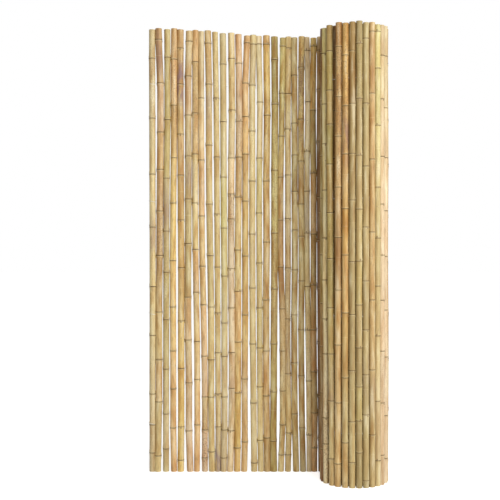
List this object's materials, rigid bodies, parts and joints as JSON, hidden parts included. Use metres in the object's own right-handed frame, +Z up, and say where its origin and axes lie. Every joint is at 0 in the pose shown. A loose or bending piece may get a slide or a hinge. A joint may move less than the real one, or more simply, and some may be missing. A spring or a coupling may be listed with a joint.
{
  "type": "bamboo cane fence panel, partly rolled",
  "caption": "Roll of bamboo cane fencing threaded on four wires, standing on end with a stretch opened out to the left.",
  "frame": {"origin": "middle of the footprint, on the ground that the canes stand on", "axes": "+Z up along the canes, +X along the opened stretch from its free end towards the roll, +Y to the back"},
  "size_m": [0.9894, 0.2932, 1.8339],
  "materials": {
    "bamboo_pale": "satin",
    "bamboo_straw": "satin",
    "bamboo_tan": "satin",
    "bamboo_brown": "satin",
    "bamboo_inner": "satin",
    "galvanised_wire": "weathered zinc"
  },
  "bodies": {
    "root": {"cane_01": "bamboo_straw", "cane_02": "bamboo_tan", "cane_03": "bamboo_straw", "cane_04": "bamboo_tan", "cane_05": "bamboo_tan", "cane_06": "bamboo_tan", "cane_07": "bamboo_tan", "cane_08": "bamboo_tan", "cane_09": "bamboo_straw", "cane_10": "bamboo_straw", "cane_11": "bamboo_pale", "cane_12": "bamboo_tan", "cane_13": "bamboo_tan", "cane_14": "bamboo_tan", "cane_15": "bamboo_pale", "cane_16": "bamboo_pale", "cane_17": "bamboo_brown", "cane_18": "bamboo_brown", "cane_19": "bamboo_brown", "cane_20": "bamboo_tan", "cane_21": "bamboo_brown", "cane_22": "bamboo_brown", "cane_23": "bamboo_straw", "cane_24": "bamboo_brown", "cane_25": "bamboo_brown", "cane_26": "bamboo_tan", "cane_27": "bamboo_tan", "cane_28": "bamboo_tan", "cane_29": "bamboo_tan", "cane_30": "bamboo_tan", "cane_31": "bamboo_straw", "cane_32": "bamboo_tan", "cane_33": "bamboo_straw", "cane_34": "bamboo_tan", "cane_35": "bamboo_tan", "cane_36": "bamboo_straw", "cane_37": "bamboo_tan", "cane_38": "bamboo_pale", "cane_39": "bamboo_pale", "cane_40": "bamboo_pale", "cane_41": "bamboo_tan", "cane_42": "bamboo_pale", "cane_43": "bamboo_pale", "cane_44": "bamboo_straw", "cane_45": "bamboo_tan", "cane_46": "bamboo_brown", "cane_47": "bamboo_straw", "cane_48": "bamboo_straw", "cane_49": "bamboo_brown", "cane_50": "bamboo_tan", "cane_51": "bamboo_tan", "cane_52": "bamboo_straw", "cane_53": "bamboo_tan", "cane_54": "bamboo_straw", "cane_55": "bamboo_tan", "inner_turns": "bamboo_inner", "wire_1": "galvanised_wire", "wire_2": "galvanised_wire", "wire_3": "galvanised_wire", "wire_4": "galvanised_wire"}
  },
  "joints": []
}
